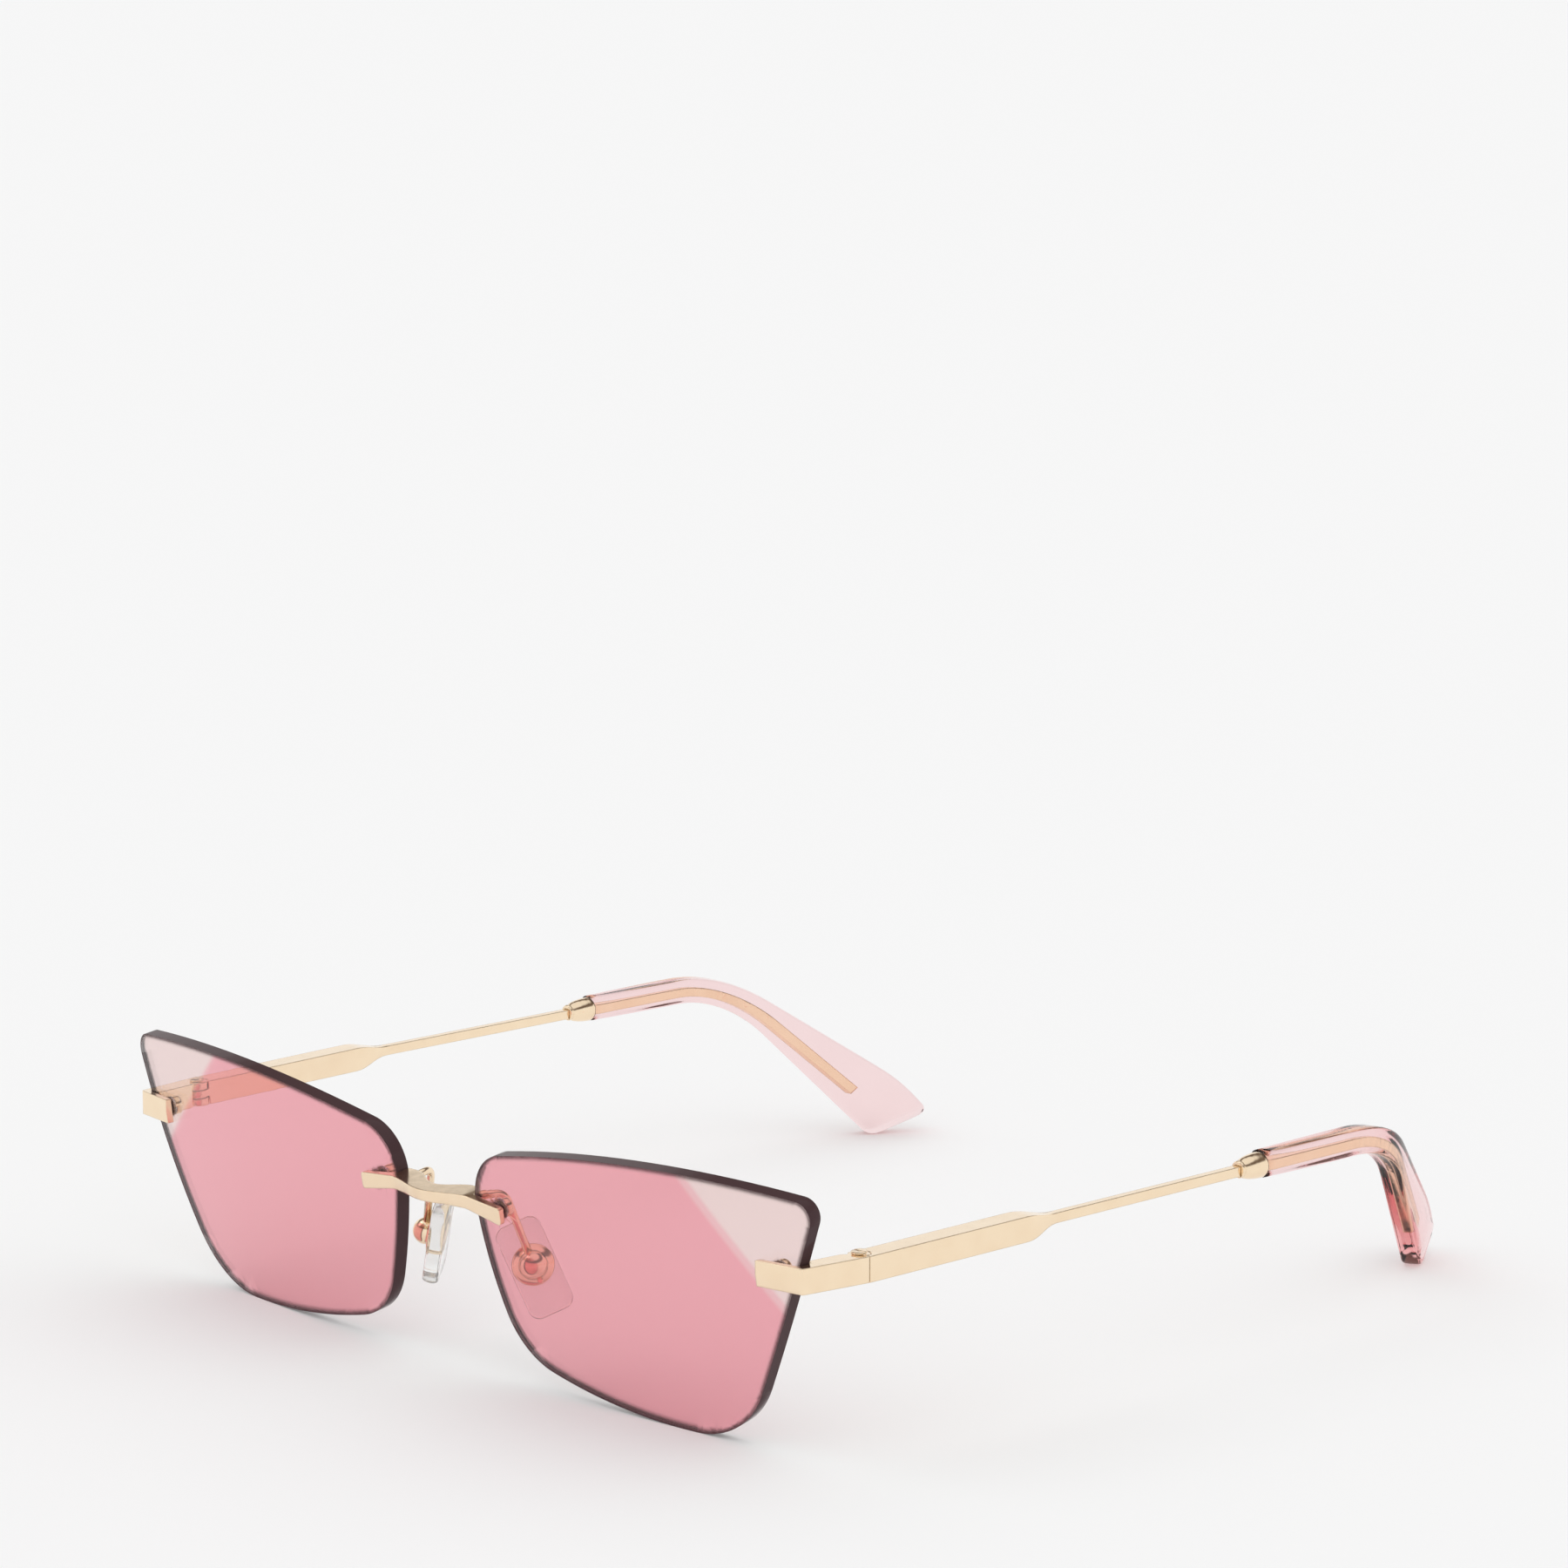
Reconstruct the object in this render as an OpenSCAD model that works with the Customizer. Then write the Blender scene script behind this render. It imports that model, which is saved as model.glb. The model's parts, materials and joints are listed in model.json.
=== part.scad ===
// Rimless cat eye sunglasses: two drilled lenses, a metal bridge, wrap-round
// end pieces with three-barrel hinges, bar-and-wire temples with moulded tips,
// and nose pads that rock on ball-ended arms.
//
// Millimetres. +X is the wearer's left, the front faces -Y, +Z is up.
// z = 0 is the table the lenses and the temple tips stand on, x = 0 is the
// plane of symmetry, and y = 0 is half way along the open glasses.
// Every shape is drawn once, for the wearer's left, and mirrored for the right.
// Inside the modules y = 0 is the middle of the lenses' front.

/* [Lenses] */
// Thickness of each lens
lens_thickness = 2.0; // [1.7:0.1:2.1]
// Radius of the lens's round front face
lens_curve = 235; // [215:5:260]
// Lean of the lens's top towards the front, in degrees
lens_lean = 9.8; // [9.5:0.1:10.1]
// Wrap of each lens back towards the temple, in degrees
lens_wrap = 3.4; // [3.2:0.1:3.6]
// Gap left between a lens and any metal beside it
lens_gap = 0.12; // [0.1:0.02:0.16]

/* [Bridge] */
// Distance from one end of the bridge to the other
bridge_span = 29; // [28.4:0.2:29.6]
// Forward bow of the bridge at its middle
bridge_bow = 1.5; // [1:0.1:1.8]
// Depth of the bridge at its middle, front to back
bridge_depth = 2.6; // [2.2:0.1:3]
// Height of the bridge at its middle
bridge_mid_h = 1.6; // [1.4:0.1:1.8]
// Height of the bridge's ends, where they are fixed to the lenses
bridge_end_h = 2.4; // [2.2:0.1:2.6]

/* [End pieces] */
// Height of the end pieces and of the hinges
end_piece_h = 3.5; // [3.3:0.1:3.7]
// Rounding of the corner where an end piece turns back
end_corner_r = 0.7; // [0.4:0.1:1]

/* [Hinges] */
// Radius of the round hinge barrels
barrel_r = 1.5; // [1.4:0.05:1.55]
// Clearance between one hinge barrel and the next
barrel_gap = 0.1; // [0.08:0.01:0.14]
// Lean of the hinge pin's top towards the front, in degrees
hinge_lean = 4.5; // [4:0.1:5]
// Radius of the hinge screw's shank
hinge_screw_r = 0.6; // [0.5:0.05:0.65]
// Radius of the hinge screw's head
hinge_head_r = 1.05; // [0.95:0.05:1.15]

/* [Temples] */
// Thickness of the temple's square bar, side to side
bar_thickness = 3.4; // [3.2:0.1:3.5]
// Thickness of the temple wire, side to side
wire_thickness = 1.2; // [1:0.1:1.2]
// Height of the temple wire
wire_h = 1.4; // [1.2:0.1:1.4]

/* [Temple tips] */
// Thickness of the moulded tips, side to side
tip_thickness = 3.4; // [3.2:0.1:3.6]
// Radius of the tips' inward bend
tip_bend_r = 36; // [34:1:38]
// Angle of the tips' inward bend, in degrees
tip_bend = 29; // [27:1:30]

/* [Nose pads] */
// Width of the clear nose pads
pad_w = 6.4; // [6.2:0.1:7]
// Length of the clear nose pads
pad_h = 13.6; // [13:0.2:14.2]
// Thickness of the clear nose pads
pad_t = 2.2; // [2:0.1:2.4]
// Radius of the nose pad arms' wire
arm_r = 0.55; // [0.5:0.05:0.6]
// Radius of the ball at the end of each arm
ball_r = 1.2; // [1.1:0.05:1.2]
// Clearance between the ball and its socket
socket_clearance = 0.05; // [0.03:0.01:0.05]

/* [Lens fasteners] */
// Radius of the studs that pass through the lenses
stud_r = 0.6; // [0.5:0.05:0.65]
// Radius of the holes drilled in the lenses
lens_hole_r = 1.0; // [0.95:0.05:1.1]
// Radius of the dome nuts behind the lenses
nut_r = 1.3; // [1.2:0.05:1.4]

/* [Hidden] */
// Half way along the open glasses, measured back from the lenses' front
mid_depth = 70.51;
// Middle of the left lens's front face
lens_mid = [38, 0, 14.62];
// Where the studs pass through the lens, across and up from its middle
nasal_stud = [-25.6, 9.9];
temporal_stud = [25.9, 10.6];
// Middle of the hinge, on the pin's axis
hinge_mid = [68.7, 12, 25.3];
seam_y = 11.8;
seam_gap = 0.12;
end_low = hinge_mid[2] - end_piece_h / 2;
end_high = hinge_mid[2] + end_piece_h / 2;
notch_r = barrel_r + 0.12;
barrel_h = (end_piece_h - 2 * barrel_gap) / 3;
// Temple lines: bar, taper, wire, then the bend down behind the ear
bar_end_y = 40.5;
wire_start_y = 48;
wire_x = 69.75;
wire_z = 25.75;
bend_y = 107;
inward_y = 105;
ferrule_y = 84;
tip_y = 88.6;
ferrule_r = 1.85;
core_end = 16.5;
// Nose pad: middle, and the turns that set its splay
pad_mid = [10.7, 7.9, 15];
pad_turn = [23.7, -12.1, -40];
disc_r = 2.9;
disc_t = 0.6;
disc_shift = 0.5;
socket_r = ball_r + socket_clearance;
dome_r = 1.9;
ball_out = pad_t / 2 + 0.75;
arm_root = [7.1, 0.62, 25.45];
arm_top = [8.3, 4.7, 25.75];
stud_length = lens_thickness + 1.4;
washer_t = 0.3;
nut_h = 1.5;

gold = [0.93, 0.78, 0.55];
pink_lens = [0.88, 0.5, 0.58, 0.7];
pink_tip = [0.95, 0.78, 0.8, 0.8];
clear_pad = [0.93, 0.95, 0.96, 0.6];
clear_bush = [0.9, 0.9, 0.9];
$fn = 64;

// ---- drawing helpers ----

// Points along a line of steps from (x, y) in direction h. A step is
// [length, 0] for a straight, or [radius, turn] for an arc; right turns are positive.
function walk(steps, x, y, h, i = 0) =
    i == len(steps) ? [[x, y]] :
    steps[i][1] == 0 ?
        concat([[x, y]], walk(steps, x + steps[i][0] * cos(h), y + steps[i][0] * sin(h), h, i + 1)) :
    let (
        r = steps[i][0],
        turn = steps[i][1],
        s = sign(turn),
        cx = x + s * r * sin(h),
        cy = y - s * r * cos(h),
        n = max(2, ceil(abs(turn) / (2 * acos(1 - 0.006 / r)))),
        after = h - turn
    )
    concat(
        [for (k = [0 : n - 1]) let (a = h - turn * k / n) [cx - s * r * sin(a), cy + s * r * cos(a)]],
        walk(steps, cx - s * r * sin(after), cy + s * r * cos(after), after, i + 1));

// The same points without the last one, for an outline that ends where it began.
function closed(points) = [for (i = [0 : len(points) - 2]) points[i]];

// Smooth S-shaped step from point p to point q.
function ease(p, q, n = 10) =
    [for (k = [0 : n]) [p[0] + (q[0] - p[0]) * k / n, p[1] + (q[1] - p[1]) * (1 - cos(180 * k / n)) / 2]];

function reversed(points) = [for (i = [len(points) - 1 : -1 : 0]) points[i]];

// Extrudes an outline drawn in (x, z) along y, from y0 to y1.
module front_view(y0, y1) {
    translate([0, y1, 0])
        rotate([90, 0, 0])
            linear_extrude(height = y1 - y0)
                children();
}

// Extrudes an outline drawn in (y, z) along x, from x0 to x1.
module side_view(x0, x1) {
    translate([x0, 0, 0])
        rotate([90, 0, 90])
            linear_extrude(height = x1 - x0)
                children();
}

module rounded_rect(w, h, r) {
    square([w - 2 * r, h], center = true);
    square([w, h - 2 * r], center = true);
    for (sx = [-1, 1], sy = [-1, 1])
        translate([sx * (w / 2 - r), sy * (h / 2 - r)])
            circle(r = r);
}

// Round bar from point a to point b.
module rod(a, b, r) {
    d = b - a;
    translate(a)
        rotate([0, acos(d[2] / norm(d)), atan2(d[1], d[0])])
            cylinder(r = r, h = norm(d));
}

// ---- where things sit ----

module left() {
    translate([0, -mid_depth, 0])
        children();
}

module right() {
    mirror([1, 0, 0])
        left()
            children();
}

module lens_frame() {
    translate(lens_mid)
        rotate([lens_lean, 0, lens_wrap])
            children();
}

// The front parts lean with the lenses.
module front_frame() {
    translate([0, 0, lens_mid[2]])
        rotate([lens_lean, 0, 0])
            children();
}

// A spot on the lens's front face, with +Z pointing straight through the lens.
module through_lens(spot) {
    up = asin(spot[1] / lens_curve);
    across = asin(spot[0] / (lens_curve * cos(up)));
    lens_frame()
        translate([0, lens_curve, 0])
            rotate([-up, 0, across])
                translate([0, -lens_curve, 0])
                    rotate([-90, 0, 0])
                        children();
}

module hinge_frame() {
    translate(hinge_mid)
        rotate([hinge_lean, 0, 0])
            children();
}

// The nose pad's own frame: +X points out of the pad to the lens, +Z up its length.
module pad_frame() {
    translate(pad_mid)
        rotate(pad_turn)
            children();
}

// ---- lenses ----

// Cat eye outline: top edge, upper outer tip, outer edge, lower outer corner,
// lower edge, lower nasal corner, nasal edge, upper nasal corner.
function lens_outline(grow) = closed(walk([
    [171.7 + grow, 18.1],
    [2.5 + grow, 103.71],
    [214.9 + grow, 7.16],
    [14.3 + grow, 62.84],
    [114.9 + grow, 13.38],
    [11.4 + grow, 55.93],
    [66 + grow, 13.32],
    [7.3 + grow, 85.56]], -24 - grow * sin(12.1), 18 + grow * cos(12.1), 12.1));

module lens_blank(grow) {
    intersection() {
        front_view(-3, 12)
            polygon(lens_outline(grow));
        translate([0, lens_curve, 0])
            difference() {
                sphere(r = lens_curve + grow, $fn = 400);
                sphere(r = lens_curve - lens_thickness - grow, $fn = 400);
            }
    }
}

module lens() {
    difference() {
        lens_frame()
            lens_blank(0);
        for (spot = [nasal_stud, temporal_stud])
            through_lens(spot)
                translate([0, 0, -2])
                    cylinder(r = lens_hole_r, h = lens_thickness + 4);
    }
}

// ---- lens fasteners ----

module stud(spot) {
    through_lens(spot)
        translate([0, 0, -0.6])
            cylinder(r = stud_r, h = stud_length + 0.6);
}

module bush(spot) {
    through_lens(spot)
        difference() {
            cylinder(r = lens_hole_r - 0.04, h = lens_thickness);
            translate([0, 0, -1])
                cylinder(r = stud_r + 0.04, h = lens_thickness + 2);
        }
}

module washer(spot) {
    through_lens(spot)
        translate([0, 0, lens_thickness + 0.04])
            difference() {
                cylinder(r = nut_r + 0.1, h = washer_t);
                translate([0, 0, -1])
                    cylinder(r = stud_r + 0.04, h = 3);
            }
}

// Dome nut: a short collar under a round cap, blind from the front.
module nut(spot) {
    through_lens(spot)
        translate([0, 0, lens_thickness + washer_t + 0.08])
            difference() {
                intersection() {
                    cylinder(r = nut_r, h = nut_h);
                    translate([0, 0, -0.1])
                        sphere(r = nut_h + 0.1);
                }
                translate([0, 0, -1])
                    cylinder(r = stud_r + 0.04, h = 2.1);
            }
}

// ---- bridge ----

bridge_face = -0.96;
block_x = 8.15;
bridge_top = 11.8;
bridge_end_drop = 0.65;

function bow(x) = abs(x) < 8.5 ? bridge_bow * (1 + cos(180 * x / 8.5)) / 2 : 0;
function bridge_front(x) = bridge_face - bow(x);
function bridge_back(x) =
    bridge_front(0) + bridge_depth +
    (2.35 - bridge_front(0) - bridge_depth) * (1 - cos(180 * min(1, abs(x) / 6))) / 2;

module bridge_plan() {
    half = bridge_span / 2;
    polygon(concat(
        [[-half, bridge_face]],
        [for (x = [-8.5 : 0.5 : 8.5]) [x, bridge_front(x)]],
        [[half, bridge_face], [half, 1.6], [block_x, 1.6], [block_x, 2.35]],
        [for (x = [6 : -0.75 : -6]) [x, bridge_back(x)]],
        [[-block_x, 2.35], [-block_x, 1.6], [-half, 1.6]]));
}

// Half outline of the bridge seen from the front, from the middle outwards.
module bridge_front_view() {
    half = bridge_span / 2;
    low = bridge_top - bridge_mid_h;
    end_top = bridge_top - bridge_end_drop;
    end_low = end_top - bridge_end_h;
    r = 0.45;
    side = concat(
        [[0, bridge_top], [7.5, bridge_top]],
        [for (a = [90 : -15 : 0]) [half - r + r * cos(a), end_top - r + r * sin(a)]],
        [for (a = [0 : -15 : -90]) [half - r + r * cos(a), end_low + r + r * sin(a)]],
        ease([7.5, low - 0.25], [3, low], 5),
        [[0, low]]);
    polygon(side);
    mirror([1, 0])
        polygon(side);
}

module bridge_shape() {
    difference() {
        front_frame()
            intersection() {
                translate([0, 0, 5])
                    linear_extrude(height = 10)
                        bridge_plan();
                front_view(-6, 6)
                    bridge_front_view();
            }
        for (m = [0, 1])
            mirror([m, 0, 0])
                lens_frame()
                    lens_blank(lens_gap);
    }
    for (m = [0, 1])
        mirror([m, 0, 0])
            stud(nasal_stud);
}

// ---- end pieces ----

// Plan of an end piece: plate in front of the lens, corner, bar back to the hinge.
module end_piece_plan() {
    polygon(concat(
        [[61.9, -0.22], [69.05 - end_corner_r, 0.87]],
        walk([[end_corner_r, -75]], 69.45 - end_corner_r, 0.93, 8.5),
        [[70.78, seam_y - seam_gap / 2], [hinge_mid[0] - 0.1, seam_y - seam_gap / 2],
         [67.35, 9.75], [66.9, 5], [66.9, 2.8], [61.9, 2.2]]));
}

module end_piece() {
    difference() {
        translate([0, 0, end_low])
            linear_extrude(height = end_piece_h)
                end_piece_plan();
        lens_frame()
            lens_blank(lens_gap);
        // the front face leans with the lens
        translate([65.7, 0.34, hinge_mid[2]])
            rotate([lens_lean, 0, 8.4])
                translate([-10, -10, -5])
                    cube([14, 10, 10]);
        // round seat for the temple's middle barrel
        hinge_frame()
            translate([0, 0, -barrel_h / 2 - barrel_gap])
                cylinder(r = notch_r, h = barrel_h + 2 * barrel_gap);
        hinge_frame()
            translate([0, 0, -6])
                cylinder(r = hinge_screw_r + 0.02, h = 12);
    }
    end_piece_barrels();
    stud(temporal_stud);
}

// Upper and lower barrels, trimmed level with the bar.
module end_piece_barrels() {
    difference() {
        intersection() {
            hinge_frame()
                translate([0, 0, -4])
                    cylinder(r = barrel_r, h = 8);
            translate([60, 0, end_low])
                cube([20, 20, end_piece_h]);
        }
        hinge_frame()
            translate([0, 0, -barrel_h / 2 - barrel_gap])
                cylinder(r = 4, h = barrel_h + 2 * barrel_gap);
        hinge_frame()
            translate([0, 0, -6])
                cylinder(r = hinge_screw_r + 0.02, h = 12);
    }
}

module hinge_screw() {
    hinge_frame()
        difference() {
            union() {
                translate([0, 0, -end_piece_h / 2])
                    cylinder(r = hinge_screw_r, h = end_piece_h);
                translate([0, 0, end_piece_h / 2 + 0.12])
                    cylinder(r = hinge_head_r, h = 0.25);
                translate([0, 0, end_piece_h / 2])
                    cylinder(r = hinge_screw_r, h = 0.2);
            }
            translate([-2, -0.12, end_piece_h / 2 + 0.22])
                cube([4, 0.24, 1]);
        }
}

// ---- temples ----

// Side view: bar, taper, wire, and the core that runs down inside the tip.
module temple_side() {
    start = seam_y + seam_gap / 2;
    half = wire_h / 2;
    polygon(concat(
        [[start, end_low], [start, end_high]],
        ease([bar_end_y, end_high + 0.28], [wire_start_y - 1, wire_z + half]),
        walk([[23 + half, 45], [core_end, 0]], bend_y, wire_z + half, 0),
        reversed(walk([[23 - half, 45], [core_end, 0]], bend_y, wire_z - half, 0)),
        ease([wire_start_y - 1, wire_z - half], [bar_end_y, end_low + 0.28])));
}

// Plan view of the same run, with the core bending inwards.
module temple_plan() {
    start = seam_y + seam_gap / 2;
    half = wire_thickness / 2;
    polygon(concat(
        [[70.8 - bar_thickness, start], [70.8, start], [71.4, bar_end_y]],
        [for (p = ease([bar_end_y + 0.5, 71.4], [wire_start_y, wire_x + half])) [p[1], p[0]]],
        walk([[tip_bend_r + half, -tip_bend], [40, 0]], wire_x + half, inward_y, 90),
        reversed(walk([[tip_bend_r - half, -tip_bend], [40, 0]], wire_x - half, inward_y, 90)),
        [for (p = ease([wire_start_y, wire_x - half], [bar_end_y - 1, 71.4 - bar_thickness])) [p[1], p[0]]]));
}

module temple() {
    difference() {
        intersection() {
            side_view(40, 75)
                temple_side();
            translate([0, 0, -5])
                linear_extrude(height = 40)
                    temple_plan();
        }
        // round notches for the end piece's barrels
        hinge_frame() {
            translate([0, 0, barrel_h / 2])
                cylinder(r = notch_r, h = 4);
            translate([0, 0, -barrel_h / 2 - 4])
                cylinder(r = notch_r, h = 4);
            translate([0, 0, -3])
                cylinder(r = hinge_screw_r + 0.05, h = 6);
        }
    }
    middle_barrel();
}

module middle_barrel() {
    hinge_frame()
        translate([0, 0, -barrel_h / 2])
            difference() {
                cylinder(r = barrel_r, h = barrel_h);
                translate([0, 0, -1])
                    cylinder(r = hinge_screw_r + 0.05, h = 4);
            }
}

// Space taken by the wire, a little larger, for the ferrule and the tip.
module wire_space() {
    clear = 0.04;
    half_h = wire_h / 2 + clear;
    half_t = wire_thickness / 2 + clear;
    intersection() {
        side_view(40, 75)
            polygon(concat(
                walk([[23 + half_h, 45], [core_end + 0.8, 0]], bend_y, wire_z + half_h, 0),
                reversed(walk([[23 - half_h, 45], [core_end + 0.8, 0]], bend_y, wire_z - half_h, 0)),
                [[70, wire_z - half_h], [70, wire_z + half_h]]));
        translate([0, 0, -5])
            linear_extrude(height = 40)
                polygon(concat(
                    [[wire_x - half_t, 70], [wire_x + half_t, 70]],
                    walk([[tip_bend_r + half_t, -tip_bend], [40, 0]], wire_x + half_t, inward_y, 90),
                    reversed(walk([[tip_bend_r - half_t, -tip_bend], [40, 0]],
                        wire_x - half_t, inward_y, 90))));
    }
}

// Turned collar between the wire and the tip: lip, groove, then a swelling body.
module ferrule() {
    l = tip_y - ferrule_y - 0.06;
    difference() {
        translate([wire_x, ferrule_y, wire_z + 0.15])
            rotate([-90, 0, 0])
                rotate_extrude()
                    polygon([[0, 0], [1.12, 0], [1.25, 0.25], [1.12, 0.5], [1.2, 0.7],
                        [1.45, 1.2], [1.65, 2], [1.78, 3], [ferrule_r, l - 0.3],
                        [ferrule_r - 0.1, l], [0, l]]);
        wire_space();
    }
}

// ---- temple tips ----

// Side view of a tip: level run, bend, widening paddle, slanted end, back up.
module tip_side() {
    polygon(closed(walk([
        [18.4, 0],
        [27, 36.5],
        [20.041, 0],
        [25, 15],
        [2, 0],
        [1.6, 111],
        [6.675, 0],
        [1.2, 66.5],
        [22.272, 0],
        [20, -49],
        [18.4, 0],
        [0.01, 0]], tip_y, 27.9, 0)));
}

module tip_plan() {
    half = tip_thickness / 2;
    polygon(concat(
        walk([[inward_y - tip_y, 0], [tip_bend_r + half, -tip_bend], [40, 0]], wire_x + half, tip_y, 90),
        reversed(walk([[inward_y - tip_y, 0], [tip_bend_r - half, -tip_bend], [40, 0]],
            wire_x - half, tip_y, 90))));
}

module temple_tip() {
    difference() {
        intersection() {
            side_view(40, 75)
                tip_side();
            translate([0, 0, -5])
                linear_extrude(height = 40)
                    tip_plan();
        }
        wire_space();
    }
}

// ---- nose pads ----

ball_mid = [ball_out, 0, disc_shift];

// Wire arm: back from the bridge, round the bend, down to the ball.
module pad_arm() {
    pad_root = pad_mid + turned(ball_mid);
    rod(arm_root, arm_top, arm_r);
    translate(arm_top)
        sphere(r = arm_r + 0.04);
    rod(arm_top, pad_root, arm_r);
    translate(pad_root)
        sphere(r = ball_r);
}

// A point of the pad's frame, turned to the row's axes.
function turned(p) =
    let (
        a = pad_turn[0],
        b = pad_turn[1],
        c = pad_turn[2],
        p1 = [p[0], p[1] * cos(a) - p[2] * sin(a), p[1] * sin(a) + p[2] * cos(a)],
        p2 = [p1[0] * cos(b) + p1[2] * sin(b), p1[1], -p1[0] * sin(b) + p1[2] * cos(b)]
    )
    [p2[0] * cos(c) - p2[1] * sin(c), p2[0] * sin(c) + p2[1] * cos(c), p2[2]];

// Disc with a hollow dome that holds the arm's ball, slotted for the rocking arm.
module pad_socket() {
    disc_face = pad_t / 2 - disc_t + 0.1;
    slot_half = arm_r + 0.2;
    pad_frame()
        difference() {
            union() {
                translate([disc_face, 0, disc_shift])
                    rotate([0, 90, 0])
                        cylinder(r = disc_r, h = disc_t);
                intersection() {
                    translate(ball_mid)
                        sphere(r = dome_r);
                    translate([disc_face, -5, -5])
                        cube([2.6, 10, 10]);
                }
            }
            translate(ball_mid)
                sphere(r = socket_r);
            // slot the arm swings in, open to the back of the dome
            translate([ball_out - 0.98, -slot_half + 0.05, disc_shift])
                cube([4, 2 * slot_half, 4]);
            // hole for the rivet
            translate([-5, 0, disc_shift - 2.35])
                rotate([0, 90, 0])
                    cylinder(r = 0.34, h = 10);
        }
}

module pad_rivet() {
    pad_frame()
        translate([-0.4, 0, disc_shift - 2.35])
            rotate([0, 90, 0]) {
                cylinder(r = 0.3, h = pad_t / 2 + 0.4);
                translate([0, 0, pad_t / 2 + 0.54])
                    cylinder(r = 0.42, h = 0.2);
                cylinder(r = 0.3, h = pad_t / 2 + 0.6);
            }
}

// Clear pad, recessed for the disc.
module nose_pad() {
    difference() {
        pad_frame()
            difference() {
                translate([-pad_t / 2, 0, 0])
                    rotate([90, 0, 90])
                        linear_extrude(height = pad_t)
                            rounded_rect(pad_w, pad_h, 1.6);
                translate([pad_t / 2 - disc_t + 0.06, 0, disc_shift])
                    rotate([0, 90, 0])
                        cylinder(r = disc_r + 0.04, h = 2);
                translate([-0.45, 0, disc_shift - 2.35])
                    rotate([0, 90, 0])
                        cylinder(r = 0.34, h = 3);
                translate(ball_mid)
                    sphere(r = dome_r + 0.04);
            }
    }
}

// ---- one module per node ----

module lens_left() { color(pink_lens) left() lens(); }
module lens_right() { color(pink_lens) right() lens(); }
module bridge() { color(gold) left() bridge_shape(); }
module end_piece_left() { color(gold) left() end_piece(); }
module end_piece_right() { color(gold) right() end_piece(); }
module hinge_screw_left() { color(gold) left() hinge_screw(); }
module hinge_screw_right() { color(gold) right() hinge_screw(); }
module temple_left() { color(gold) left() temple(); }
module temple_right() { color(gold) right() temple(); }
module ferrule_left() { color(gold) left() ferrule(); }
module ferrule_right() { color(gold) right() ferrule(); }
module temple_tip_left() { color(pink_tip) left() temple_tip(); }
module temple_tip_right() { color(pink_tip) right() temple_tip(); }
module pad_arm_left() { color(gold) left() pad_arm(); }
module pad_arm_right() { color(gold) right() pad_arm(); }
module pad_socket_left() { color(gold) left() pad_socket(); }
module pad_socket_right() { color(gold) right() pad_socket(); }
module pad_rivet_left() { color(gold) left() pad_rivet(); }
module pad_rivet_right() { color(gold) right() pad_rivet(); }
module nose_pad_left() { color(clear_pad) left() nose_pad(); }
module nose_pad_right() { color(clear_pad) right() nose_pad(); }
module nasal_bush_left() { color(clear_bush) left() bush(nasal_stud); }
module nasal_bush_right() { color(clear_bush) right() bush(nasal_stud); }
module temporal_bush_left() { color(clear_bush) left() bush(temporal_stud); }
module temporal_bush_right() { color(clear_bush) right() bush(temporal_stud); }
module nasal_washer_left() { color(clear_bush) left() washer(nasal_stud); }
module nasal_washer_right() { color(clear_bush) right() washer(nasal_stud); }
module temporal_washer_left() { color(clear_bush) left() washer(temporal_stud); }
module temporal_washer_right() { color(clear_bush) right() washer(temporal_stud); }
module nasal_nut_left() { color(gold) left() nut(nasal_stud); }
module nasal_nut_right() { color(gold) right() nut(nasal_stud); }
module temporal_nut_left() { color(gold) left() nut(temporal_stud); }
module temporal_nut_right() { color(gold) right() nut(temporal_stud); }

lens_left();
lens_right();
bridge();
end_piece_left();
end_piece_right();
hinge_screw_left();
hinge_screw_right();
temple_left();
temple_right();
ferrule_left();
ferrule_right();
temple_tip_left();
temple_tip_right();
pad_arm_left();
pad_arm_right();
pad_socket_left();
pad_socket_right();
pad_rivet_left();
pad_rivet_right();
nose_pad_left();
nose_pad_right();
nasal_bush_left();
nasal_bush_right();
temporal_bush_left();
temporal_bush_right();
nasal_washer_left();
nasal_washer_right();
temporal_washer_left();
temporal_washer_right();
nasal_nut_left();
nasal_nut_right();
temporal_nut_left();
temporal_nut_right();
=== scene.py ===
"""Looks for a pair of rimless cat eye sunglasses standing open on a pale floor.

Metres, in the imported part's frame: +X is the wearer's left, the lenses face -Y, +Z is up.
"""

import json
import math

import bmesh
import bpy
from mathutils import Euler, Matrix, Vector


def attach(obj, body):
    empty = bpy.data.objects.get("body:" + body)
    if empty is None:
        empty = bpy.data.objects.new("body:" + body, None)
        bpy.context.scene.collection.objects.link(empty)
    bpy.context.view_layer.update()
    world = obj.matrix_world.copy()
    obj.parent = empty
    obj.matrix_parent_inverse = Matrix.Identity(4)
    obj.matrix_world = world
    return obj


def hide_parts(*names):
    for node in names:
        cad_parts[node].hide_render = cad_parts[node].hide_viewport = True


MM = 0.001
SIDES = {"left": 1, "right": -1}

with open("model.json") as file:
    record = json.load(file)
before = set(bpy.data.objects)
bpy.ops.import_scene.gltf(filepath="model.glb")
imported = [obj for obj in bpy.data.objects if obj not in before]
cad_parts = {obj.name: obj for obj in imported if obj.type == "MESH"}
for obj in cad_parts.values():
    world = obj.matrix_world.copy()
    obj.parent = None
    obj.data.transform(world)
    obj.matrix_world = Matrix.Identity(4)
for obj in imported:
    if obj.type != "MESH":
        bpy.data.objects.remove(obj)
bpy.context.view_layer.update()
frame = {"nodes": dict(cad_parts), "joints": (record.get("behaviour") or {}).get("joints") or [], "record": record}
joints = {j["name"]: j for j in frame["joints"]}
mounts = {m["name"]: m for m in frame["record"]["mounts"]}

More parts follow.
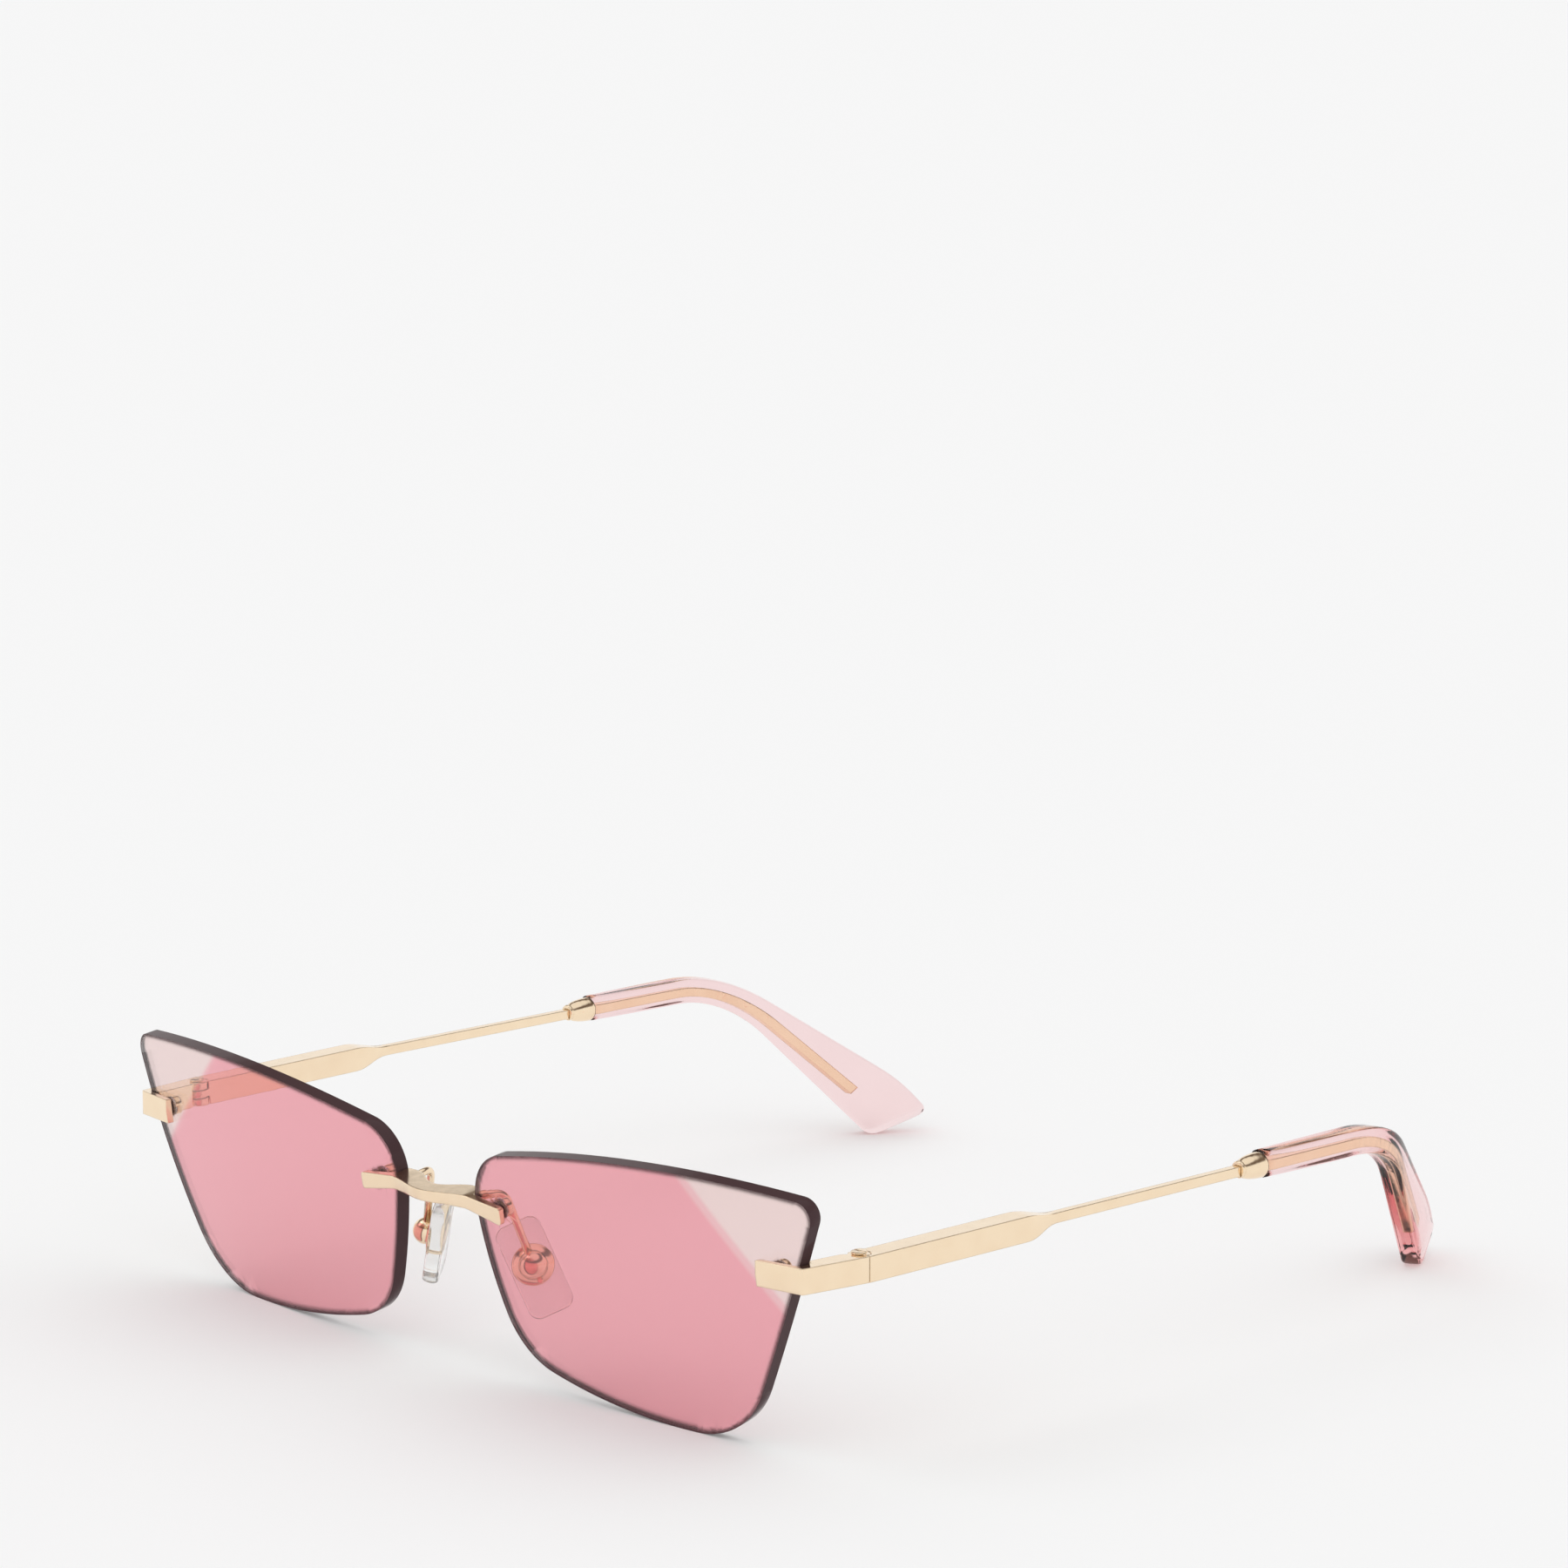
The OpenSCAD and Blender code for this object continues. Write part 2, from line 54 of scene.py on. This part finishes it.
# ---- sizes that the details share with the solids ----

# distance from the lenses' front back to the middle of the open glasses, in mm
mid_depth = 70.51

# nose pads and their arms, in metres
pad_width = 6.4 * MM
pad_length = 13.6 * MM
pad_thickness = 2.2 * MM
pad_corner = 1.6 * MM
pad_edge = 0.45 * MM
pad_turn = Euler([math.radians(a) for a in (23.7, -12.1, -40)])
arm_radius = 0.55 * MM
arm_bend = 1.6 * MM
ball_radius = 1.2 * MM
arm_top_from_ball = Vector((-3.58, -1.94, 9.91)) * MM
arm_root_from_ball = Vector((-4.78, -6.14, 9.61)) * MM

# the socket's disc and dome, in mm along and across the pad
disc_radius = 2.9
disc_back = 0.6
disc_front = 1.2
disc_rise = 0.5
disc_rim = 0.15
dome_radius = 1.9
dome_height = 1.85
dome_start = math.radians(-14)
dome_sweep = math.radians(103)

# temple tips, in mm, with y measured back from the lenses' front
tip_start = 88.6
tip_top = 27.9
tip_bottom = 24.1
tip_half = 1.7
tip_middle = 69.75
tip_inward_start = 105
tip_inward_radius = 36
tip_inward_turn = math.radians(29)
tip_end_round = 0.9
tip_corner_round = 1.7
tip_end_heading = math.radians(-50)
# straights are (length, 0) and arcs are (radius, degrees turned downwards), in mm
tip_upper = ((18.4, 0), (27, 36.5), (20.04, 0), (25, 15), (2.0, 0))
tip_lower = ((18.4, 0), (20, 49), (21.7, 0))

# lenses: their lean and wrap, their middle, and how far out the pale zone starts
lens_turn = Euler([math.radians(a) for a in (9.8, 0, 3.4)])
lens_middle = Vector((38, -mid_depth, 14.62)) * MM
pale_zone_start = 22.27 * MM
pale_zone_end = 23.0 * MM
# width of the painted shade along the lenses' hard edges
painted_shade_rim_width = 1.2 * MM

# width of the round-over on a solid's hard edges, by the start of its name, in mm
round_overs = {
    "lens": 0.05,
    "bridge": 0.25,
    "end_piece": 0.2,
    "temple_tip": 0.6,
    "temple_left": 0.22,
    "temple_right": 0.22,
}
small_round_over = 0.06


def side_signs(side):
    """Turns a place on the left into the same place on a side."""
    return Vector((SIDES[side], 1, 1))


def pad_middle(side):
    """Middle of the nose pad on a side, given as for the left."""
    face = Vector(mounts["nose_pad_face_" + side]["pos_m"]) * side_signs(side)
    return face + pad_turn.to_matrix() @ Vector((pad_thickness / 2, 0, 0))


# ---- material helpers ----


def new_material(name):
    """A node material and its main shader."""
    mat = bpy.data.materials.new(name)
    mat.use_nodes = True
    return mat, mat.node_tree, mat.node_tree.nodes["Principled BSDF"]


def object_place(tree):
    """Where a point of the surface is on the object."""
    return tree.nodes.new("ShaderNodeTexCoord").outputs["Object"]


def noise(tree, scale, detail=3.0):
    """Soft cloudy pattern with scale features to the metre."""
    node = tree.nodes.new("ShaderNodeTexNoise")
    node.inputs["Scale"].default_value = scale
    node.inputs["Detail"].default_value = detail
    tree.links.new(object_place(tree), node.inputs["Vector"])
    return node.outputs["Fac"]


def remap(tree, value, low, high, start=0.3, end=0.7):
    """value between start and end becomes low to high."""
    node = tree.nodes.new("ShaderNodeMapRange")
    node.inputs["From Min"].default_value = start
    node.inputs["From Max"].default_value = end
    node.inputs["To Min"].default_value = low
    node.inputs["To Max"].default_value = high
    tree.links.new(value, node.inputs["Value"])
    return node.outputs["Result"]


def vary_roughness(tree, shader, low, high, scale):
    """Lets the roughness drift between low and high."""
    tree.links.new(remap(tree, noise(tree, scale), low, high), shader.inputs["Roughness"])


def dot_product(tree, value, other):
    """The dot product of a socket and either another socket or a fixed direction."""
    node = tree.nodes.new("ShaderNodeVectorMath")
    node.operation = "DOT_PRODUCT"
    tree.links.new(value, node.inputs[0])
    if isinstance(other, bpy.types.NodeSocket):
        tree.links.new(other, node.inputs[1])
    else:
        node.inputs[1].default_value = other
    return node.outputs["Value"]


def calculate(tree, operation, *values):
    """A math node over one or two sockets."""
    node = tree.nodes.new("ShaderNodeMath")
    node.operation = operation
    for value, socket in zip(values, node.inputs):
        tree.links.new(value, socket)
    return node.outputs[0]


def rounded_normal(tree, radius):
    """The surface direction with every hard edge rounded over by radius."""
    node = tree.nodes.new("ShaderNodeBevel")
    node.samples = 6
    node.inputs["Radius"].default_value = radius
    return node.outputs["Normal"]


def near_edge(tree, radius):
    """1 within about radius of a hard edge, 0 elsewhere."""
    geometry = tree.nodes.new("ShaderNodeNewGeometry")
    match = dot_product(tree, rounded_normal(tree, radius), geometry.outputs["Normal"])
    return remap(tree, match, 1, 0, 0.95, 0.998)


def add_bump(tree, shader, scale, depth, edge_radius=0.0):
    """Fine unevenness, on hard edges rounded over by edge_radius where it is given."""
    node = tree.nodes.new("ShaderNodeBump")
    if edge_radius:
        tree.links.new(rounded_normal(tree, edge_radius), node.inputs["Normal"])
    node.inputs["Distance"].default_value = depth
    node.inputs["Strength"].default_value = 0.35
    tree.links.new(noise(tree, scale, 6.0), node.inputs["Height"])
    tree.links.new(node.outputs["Normal"], shader.inputs["Normal"])


def mix_colours(tree, share, first, second):
    """first where share is 0, second where it is 1; each is a colour or a socket."""
    node = tree.nodes.new("ShaderNodeMix")
    node.data_type = "RGBA"
    tree.links.new(share, node.inputs["Factor"])
    for name, colour in (("A", first), ("B", second)):
        socket = [s for s in node.inputs if s.name == name and s.type == "RGBA"][0]
        if isinstance(colour, bpy.types.NodeSocket):
            tree.links.new(colour, socket)
        else:
            socket.default_value = (*colour, 1)
    return [s for s in node.outputs if s.type == "RGBA"][0]


def let_shadow_through(tree, shader, tint):
    """Clear pieces throw a pale tinted shadow."""
    path = tree.nodes.new("ShaderNodeLightPath")
    clear = tree.nodes.new("ShaderNodeBsdfTransparent")
    clear.inputs["Color"].default_value = (*tint, 1)
    mix = tree.nodes.new("ShaderNodeMixShader")
    tree.links.new(path.outputs["Is Shadow Ray"], mix.inputs[0])
    tree.links.new(shader.outputs[0], mix.inputs[1])
    tree.links.new(clear.outputs[0], mix.inputs[2])
    tree.links.new(mix.outputs[0], tree.nodes["Material Output"].inputs["Surface"])


# ---- materials ----


def gold_metal():
    """Polished pale gold plating with faint handling marks."""
    mat, tree, shader = new_material("pale_gold")
    shader.inputs["Metallic"].default_value = 1.0
    wear = remap(tree, noise(tree, 260.0), 0.0, 1.0)
    colour = mix_colours(tree, wear, (0.98, 0.80, 0.58), (0.95, 0.76, 0.54))
    tree.links.new(colour, shader.inputs["Base Color"])
    vary_roughness(tree, shader, 0.10, 0.20, 900.0)
    add_bump(tree, shader, 2600.0, 0.000003, 0.3 * MM)
    return mat


def tinted_lens(side):
    """Pink lens, lighter in its upper outer corner, with painted shade on its edges, which are made opaque and
    dark purplish.
    """
    mat, tree, shader = new_material("tinted_lens_" + side)
    shader.inputs["IOR"].default_value = 1.5
    shader.inputs["Specular IOR Level"].default_value = 0.05
    pink = (0.88, 0.40, 0.45)
    pale = (0.88, 0.70, 0.68)
    # painted shade for the lens edges, dark purplish
    painted_edge_shade = (0.07, 0.04, 0.043)
    turn = lens_turn.to_matrix()
    mirror = side_signs(side)
    outwards = turn @ Vector((1, 0, 1)).normalized()
    middle = outwards.dot(lens_middle)
    place = dot_product(tree, object_place(tree), outwards * mirror)
    zone = remap(tree, place, 0, 1, middle + pale_zone_start, middle + pale_zone_end)
    face = mix_colours(tree, zone, pink, pale)
    # the edge is where the surface faces across the lens instead of through it; there and near hard edges the lens
    # is painted opaque and dark, as painted shade
    through = turn @ Vector((0, 1, 0))
    geometry = tree.nodes.new("ShaderNodeNewGeometry")
    facing = dot_product(tree, geometry.outputs["True Normal"], through * mirror)
    side_wall = remap(tree, calculate(tree, "ABSOLUTE", facing), 1, 0, 0.6, 0.85)
    edge = calculate(tree, "MAXIMUM", side_wall, near_edge(tree, painted_shade_rim_width))
    tree.links.new(mix_colours(tree, edge, face, painted_edge_shade), shader.inputs["Base Color"])
    # where the shade is painted, no light comes through
    clearness = remap(tree, edge, 1.0, 0.0, 0, 1)
    tree.links.new(clearness, shader.inputs["Transmission Weight"])
    vary_roughness(tree, shader, 0.0, 0.02, 400.0)
    let_shadow_through(tree, shader, (0.98, 0.955, 0.96))
    return mat


def pink_acetate():
    """Clear moulding whose pink deepens with the thickness looked through.

    The refractive index is set for the look and is lower than the real one.
    """
    mat, tree, shader = new_material("pink_acetate")
    shader.inputs["Transmission Weight"].default_value = 1.0
    shader.inputs["IOR"].default_value = 1.28
    cloud = remap(tree, noise(tree, 140.0), 0.0, 1.0)
    colour = mix_colours(tree, cloud, (1.0, 0.96, 0.96), (0.98, 0.93, 0.93))
    tree.links.new(colour, shader.inputs["Base Color"])
    vary_roughness(tree, shader, 0.02, 0.06, 500.0)
    add_bump(tree, shader, 1200.0, 0.000002)
    depth = tree.nodes.new("ShaderNodeVolumeAbsorption")
    depth.inputs["Color"].default_value = (0.93, 0.42, 0.42, 1)
    depth.inputs["Density"].default_value = 105.0
    tree.links.new(depth.outputs[0], tree.nodes["Material Output"].inputs["Volume"])
    let_shadow_through(tree, shader, (0.975, 0.95, 0.95))
    return mat


def clear_plastic(name, rough):
    """Colourless moulding: nose pads, sleeves and washers."""
    mat, tree, shader = new_material(name)
    shader.inputs["Transmission Weight"].default_value = 0.88
    shader.inputs["IOR"].default_value = 1.49
    cloud = remap(tree, noise(tree, 200.0), 0.0, 1.0)
    colour = mix_colours(tree, cloud, (0.97, 0.97, 0.96), (0.93, 0.94, 0.93))
    tree.links.new(colour, shader.inputs["Base Color"])
    vary_roughness(tree, shader, rough, rough + 0.08, 700.0)
    add_bump(tree, shader, 1500.0, 0.000003)
    let_shadow_through(tree, shader, (0.93, 0.93, 0.93))
    return mat


def floor_finish():
    """Plain pale paper."""
    mat, tree, shader = new_material("pale_floor")
    shader.inputs["Base Color"].default_value = (0.93, 0.93, 0.93, 1)
    shader.inputs["Specular IOR Level"].default_value = 0.0
    vary_roughness(tree, shader, 0.85, 0.95, 30.0)
    return mat


# ---- meshes ----


def mesh_object(name, bm, mat):
    """A smooth-shaded object made from a mesh under construction."""
    bmesh.ops.recalc_face_normals(bm, faces=bm.faces)
    for face in bm.faces:
        face.smooth = True
    data = bpy.data.meshes.new(name)
    bm.to_mesh(data)
    bm.free()
    data.materials.append(mat)
    piece = bpy.data.objects.new(name, data)
    bpy.context.scene.collection.objects.link(piece)
    return piece


def bridge_rings(bm, rings):
    """Joins rings of the same number of points with a skin, and closes both ends."""
    count = len(rings[0])
    for lower, upper in zip(rings, rings[1:]):
        for i in range(count):
            j = (i + 1) % count
            bm.faces.new((lower[i], lower[j], upper[j], upper[i]))
    bm.faces.new(rings[0])
    bm.faces.new(rings[-1])


def rounded_outline(width, length, corner, steps=8):
    """Points round a rectangle with round corners, in (y, z)."""
    points = []
    for quarter in range(4):
        sy = (1, -1, -1, 1)[quarter]
        sz = (1, 1, -1, -1)[quarter]
        for k in range(steps + 1):
            a = math.pi / 2 * (quarter + k / steps)
            y = sy * (width / 2 - corner) + corner * math.cos(a)
            z = sz * (length / 2 - corner) + corner * math.sin(a)
            points.append((y, z))
    return points


def nose_pad(side, mat):
    """Soft-edged clear pad, lofted from its rest face to its back."""
    turn = pad_turn.to_matrix()
    middle = pad_middle(side)
    mirror = side_signs(side)
    bm = bmesh.new()
    rings = []
    steps = 10
    for k in range(steps + 1):
        a = math.pi * k / steps
        inset = pad_edge * (1 - math.sin(a))
        height = -math.cos(a) * pad_thickness / 2
        outline = rounded_outline(
            pad_width - 2 * inset, pad_length - 2 * inset, pad_corner - inset
        )
        ring = []
        for y, z in outline:
            p = middle + turn @ Vector((height, y, z))
            ring.append(bm.verts.new(p * mirror))
        rings.append(ring)
    bridge_rings(bm, rings)
    piece = mesh_object("clear_pad_" + side, bm, mat)
    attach(piece, "nose_pad_" + side)
    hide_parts("nose_pad_" + side)


def smooth_corner(a, b, c, radius, steps=10):
    """The way from a past the corner b to c, with b rounded off."""
    start = b + (a - b).normalized() * radius
    end = b + (c - b).normalized() * radius
    points = [a]
    for k in range(steps + 1):
        t = k / steps
        points.append(start * (1 - t) ** 2 + b * 2 * t * (1 - t) + end * t**2)
    points.append(c)
    return points


def pad_arm(side, mat):
    """Bent wire arm with a ball at its end, in one smooth sweep."""
    mirror = side_signs(side)
    ball = Vector(joints["nose_pad_rock_" + side]["pos_m"]) * mirror
    path = smooth_corner(
        ball + arm_root_from_ball, ball + arm_top_from_ball, ball, arm_bend
    )
    bm = bmesh.new()
    rings = []
    across = Vector((1, 0, 0))
    for i, p in enumerate(path):
        ahead = path[min(i + 1, len(path) - 1)]
        behind = path[max(i - 1, 0)]
        along = (ahead - behind).normalized()
        across = (across - along * across.dot(along)).normalized()
        other = along.cross(across)
        ring = []
        for k in range(20):
            a = math.tau * k / 20
            q = p + (across * math.cos(a) + other * math.sin(a)) * arm_radius
            ring.append(bm.verts.new(q * mirror))
        rings.append(ring)
    bridge_rings(bm, rings)
    made = bmesh.ops.create_uvsphere(bm, u_segments=24, v_segments=16, radius=ball_radius)
    bmesh.ops.translate(bm, verts=made["verts"], vec=ball * mirror)
    piece = mesh_object("wire_arm_" + side, bm, mat)
    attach(piece, "front_frame")
    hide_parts("pad_arm_" + side)


def socket_cup(side, mat):
    """Turned disc with a dome on it, which holds the arm's ball."""
    turn = pad_turn.to_matrix()
    middle = pad_middle(side)
    mirror = side_signs(side)
    rim_middle = disc_radius - disc_rim
    half = (disc_front - disc_back) / 2
    profile = [(0.01, disc_back), (rim_middle, disc_back)]
    for k in range(7):
        a = math.pi * (k / 6 - 0.5)
        across = rim_middle + disc_rim * math.cos(a)
        profile.append((across, disc_back + half + half * math.sin(a)))
    for k in range(15):
        a = dome_start + dome_sweep * k / 14
        profile.append((dome_radius * math.cos(a), dome_height + dome_radius * math.sin(a)))
    bm = bmesh.new()
    rings = []
    for radius, height in profile:
        ring = []
        for k in range(48):
            a = math.tau * k / 48
            spot = Vector((height, radius * math.cos(a), disc_rise + radius * math.sin(a)))
            ring.append(bm.verts.new((middle + turn @ (spot * MM)) * mirror))
        rings.append(ring)
    bridge_rings(bm, rings)
    piece = mesh_object("socket_cup_" + side, bm, mat)
    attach(piece, "nose_pad_" + side)
    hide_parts("pad_socket_" + side)


def step_length(step):
    """Length of a straight or of an arc."""
    size, turn = step
    return size if turn == 0 else size * math.radians(turn)


def point_along(steps, start, distance):
    """The point that far along a run of straights and downward arcs, in (y, z)."""
    y, z = start
    heading = 0.0
    for size, turn in steps:
        part = min(distance, step_length((size, turn)))
        if turn == 0:
            y += part * math.cos(heading)
            z += part * math.sin(heading)
        else:
            after = heading - part / size
            y += size * (math.sin(heading) - math.sin(after))
            z += size * (math.cos(after) - math.cos(heading))
            heading = after
        distance -= part
    return Vector((y, z))


def tip_plan(y):
    """Middle and inward lean of the tip, seen from above, at y."""
    reach = tip_inward_radius * math.sin(tip_inward_turn)
    centre = tip_middle - tip_inward_radius
    past = y - tip_inward_start
    if past <= 0:
        return tip_middle, 0.0
    if past <= reach:
        lean = math.asin(past / tip_inward_radius)
        return centre + tip_inward_radius * math.cos(lean), lean
    edge = centre + tip_inward_radius * math.cos(tip_inward_turn)
    return edge - (past - reach) * math.tan(tip_inward_turn), tip_inward_turn


def tip_ring(bm, side, middle, half_height, half_width, squareness):
    """One section of the tip, a rounded square between round and flat-sided."""
    ring = []
    for k in range(40):
        a = math.tau * k / 40
        power = 2 / squareness
        across = half_width * math.copysign(abs(math.cos(a)) ** power, math.cos(a))
        up = math.copysign(abs(math.sin(a)) ** power, math.sin(a))
        y, z = middle + half_height * up
        x, lean = tip_plan(y)
        x += across * math.cos(lean)
        y += across * math.sin(lean) - mid_depth
        ring.append(bm.verts.new(Vector((x * SIDES[side], y, z)) * MM))
    return ring


def moulded_tip(side, mat):
    """Smooth tip: round at the collar, flat-sided at the paddle, with a round end."""
    upper_length = sum(step_length(s) for s in tip_upper)
    lower_length = sum(step_length(s) for s in tip_lower)
    bm = bmesh.new()
    rings = []
    steps = 48
    for k in range(steps + 1):
        t = k / steps
        top = point_along(tip_upper, (tip_start, tip_top), t * upper_length)
        low = point_along(tip_lower, (tip_start, tip_bottom), t * lower_length)
        squareness = 3.0 + 4.0 * min(1, t * 4)
        rings.append(tip_ring(bm, side, (top + low) / 2, (top - low) / 2, tip_half, squareness))
    middle = (top + low) / 2
    half_height = (top - low) / 2
    onwards = Vector((math.cos(tip_end_heading), math.sin(tip_end_heading)))
    for k in range(1, 7):
        a = math.pi / 2 * k / 6
        inset = tip_end_round * (1 - math.cos(a))
        corner = tip_corner_round * (1 - math.cos(a))
        shorter = half_height * (1 - corner / half_height.length)
        further = middle + onwards * tip_corner_round * math.sin(a)
        rings.append(tip_ring(bm, side, further, shorter, tip_half - inset, squareness))
    bridge_rings(bm, rings)
    piece = mesh_object("moulded_tip_" + side, bm, mat)
    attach(piece, "temple_arm_" + side)
    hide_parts("temple_tip_" + side)


def soften(piece, width):
    """Small round-over on a solid's hard edges, and smooth shading elsewhere."""
    weld = piece.modifiers.new("weld", "WELD")
    weld.merge_threshold = 0.000002
    bevel = piece.modifiers.new("round_over", "BEVEL")
    bevel.limit_method = "ANGLE"
    bevel.angle_limit = math.radians(35)
    bevel.width = width
    bevel.segments = 2
    for polygon in piece.data.polygons:
        polygon.use_smooth = True
    normals = piece.modifiers.new("even_normals", "WEIGHTED_NORMAL")
    normals.keep_sharp = True


# ---- dressing the solids ----


def dress_solids(finishes):
    """Gives every solid its finish and its round-over."""
    slots = {s["node"]: s["material_slot"] for s in frame["record"]["subparts"]}
    for name, piece in frame["nodes"].items():
        side = "left" if name.endswith("left") else "right"
        slot = slots[name]
        mat = finishes["lens_" + side] if slot == "lens" else finishes[slot]
        piece.data.materials.clear()
        piece.data.materials.append(mat)
        width = small_round_over
        for start, value in round_overs.items():
            if name.startswith(start):
                width = value
        soften(piece, width * MM)


# ---- stage ----


def floor():
    """Plain pale table, much wider than the view."""
    bm = bmesh.new()
    bmesh.ops.create_grid(bm, x_segments=4, y_segments=4, size=20)
    piece = mesh_object("floor", bm, floor_finish())


def soft_sun(name, direction, strength):
    """Even light from far off, with soft edges to its shadows."""
    light = bpy.data.lights.new(name, "SUN")
    light.energy = strength
    light.angle = math.radians(35)
    lamp = bpy.data.objects.new(name, light)
    lamp.rotation_euler = (-Vector(direction)).to_track_quat("-Z", "Y").to_euler()
    bpy.context.scene.collection.objects.link(lamp)


def surroundings(strength):
    """Even pale room, with a dark brown band that only polished surfaces pick up."""
    world = bpy.data.worlds.new("pale_room")
    world.use_nodes = True
    tree = world.node_tree
    place = tree.nodes.new("ShaderNodeTexCoord").outputs["Generated"]
    split = tree.nodes.new("ShaderNodeSeparateXYZ")
    tree.links.new(place, split.inputs[0])
    ramp = tree.nodes.new("ShaderNodeValToRGB")
    # height up the room and brightness there
    stops = ((0.0, 1.0), (0.42, 1.0), (0.5, 0.16), (0.72, 0.16), (0.82, 0.95))
    while len(ramp.color_ramp.elements) < len(stops):
        ramp.color_ramp.elements.new(0.5)
    for element, (where, level) in zip(ramp.color_ramp.elements, stops):
        element.position = where
        # a dark level loses more green and blue than red, which makes it brown
        element.color = (level, level**1.15, level**1.25, 1)
    tree.links.new(split.outputs["Z"], ramp.inputs["Fac"])
    glossy = tree.nodes.new("ShaderNodeLightPath").outputs["Is Glossy Ray"]
    room = mix_colours(tree, glossy, (1, 1, 1), ramp.outputs["Color"])
    tree.links.new(room, tree.nodes["Background"].inputs["Color"])
    tree.nodes["Background"].inputs["Strength"].default_value = strength
    bpy.context.scene.world = world


def camera():
    """Long lens, looking slightly down at the front from the wearer's left."""
    azimuth = math.radians(46.27)
    elevation = math.radians(10.0)
    aim = Vector((-8.4, 1.7, 71.4)) * MM
    distance = 0.8
    back = Vector((
        math.sin(azimuth) * math.cos(elevation),
        -math.cos(azimuth) * math.cos(elevation),
        math.sin(elevation),
    ))
    data = bpy.data.cameras.new("camera")
    data.lens = 126.6
    data.sensor_width = 36
    data.clip_start = 0.01
    data.clip_end = 100
    piece = bpy.data.objects.new("camera", data)
    piece.location = aim + back * distance
    piece.rotation_euler = (math.pi / 2 - elevation, 0, azimuth)
    bpy.context.scene.collection.objects.link(piece)
    bpy.context.scene.camera = piece


# ---- put together ----

gold = gold_metal()
pad_clear = clear_plastic("clear_pad", 0.04)
finishes = {
    "lens_left": tinted_lens("left"),
    "lens_right": tinted_lens("right"),
    "metal": gold,
    "tip": pink_acetate(),
    "pad": pad_clear,
    "bush": clear_plastic("clear_sleeve", 0.2),
}
dress_solids(finishes)
for side in SIDES:
    nose_pad(side, pad_clear)
    pad_arm(side, gold)
    socket_cup(side, gold)
    moulded_tip(side, finishes["tip"])

floor()
surroundings(0.925)
soft_sun("key", (-0.69, -0.58, 1.0), 0.30)
camera()
bpy.context.scene.view_settings.view_transform = "Standard"
